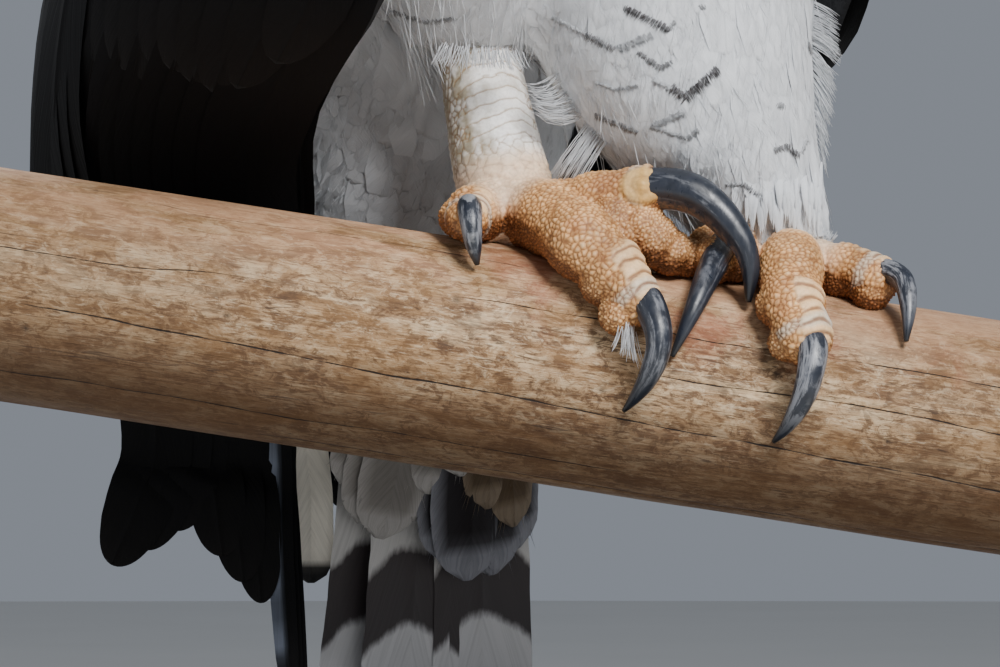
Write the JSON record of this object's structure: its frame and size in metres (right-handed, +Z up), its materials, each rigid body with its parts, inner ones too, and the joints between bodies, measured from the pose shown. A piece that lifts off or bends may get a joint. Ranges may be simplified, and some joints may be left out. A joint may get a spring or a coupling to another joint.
{
  "type": "harpy eagle perched on a pole",
  "caption": "Life-size still harpy eagle with folded wings, double crest and large talons, gripping a cut length of round wooden pole on a plain two-rod stand.",
  "frame": {"origin": "middle of the display stand's underside", "axes": "+Z up; the pole runs along X and slopes down towards +X; the viewer of the picture is at -Y and the bird faces -Y, turned 35 degrees towards +X"},
  "size_m": [0.52, 0.38, 0.9451],
  "materials": {
    "stand_black": "satin black paint",
    "perch_wood": "weathered bare wood with long cracks",
    "white_plumage": "soft white body feathers with dark bars on the thighs",
    "grey_plumage": "soft grey head feathers",
    "slate_plumage": "slate-black feathers",
    "tail_plumage": "black and pale grey bands",
    "leg_skin": "pebbled ochre skin, whitish scutes",
    "black_horn": "smooth slate-black horn",
    "eye_glass": "wet grey-brown iris and black pupil"
  },
  "bodies": {
    "root": {"stand_base": "stand_black", "stand_rod_left": "stand_black", "stand_rod_right": "stand_black", "perch": "perch_wood", "torso": "white_plumage", "neck": "grey_plumage", "head": "grey_plumage", "bill_upper": "black_horn", "bill_lower": "black_horn", "eye_left": "eye_glass", "eye_right": "eye_glass", "wing_left": "slate_plumage", "wing_right": "slate_plumage", "tail": "tail_plumage", "thigh_left": "white_plumage", "thigh_right": "white_plumage", "tarsus_left": "leg_skin", "tarsus_right": "leg_skin", "foot_left": "leg_skin", "foot_right": "leg_skin", "talon_left_1": "black_horn", "talon_left_2": "black_horn", "talon_left_3": "black_horn", "talon_left_4": "black_horn", "talon_right_1": "black_horn", "talon_right_2": "black_horn", "talon_right_3": "black_horn", "talon_right_4": "black_horn"}
  },
  "joints": []
}
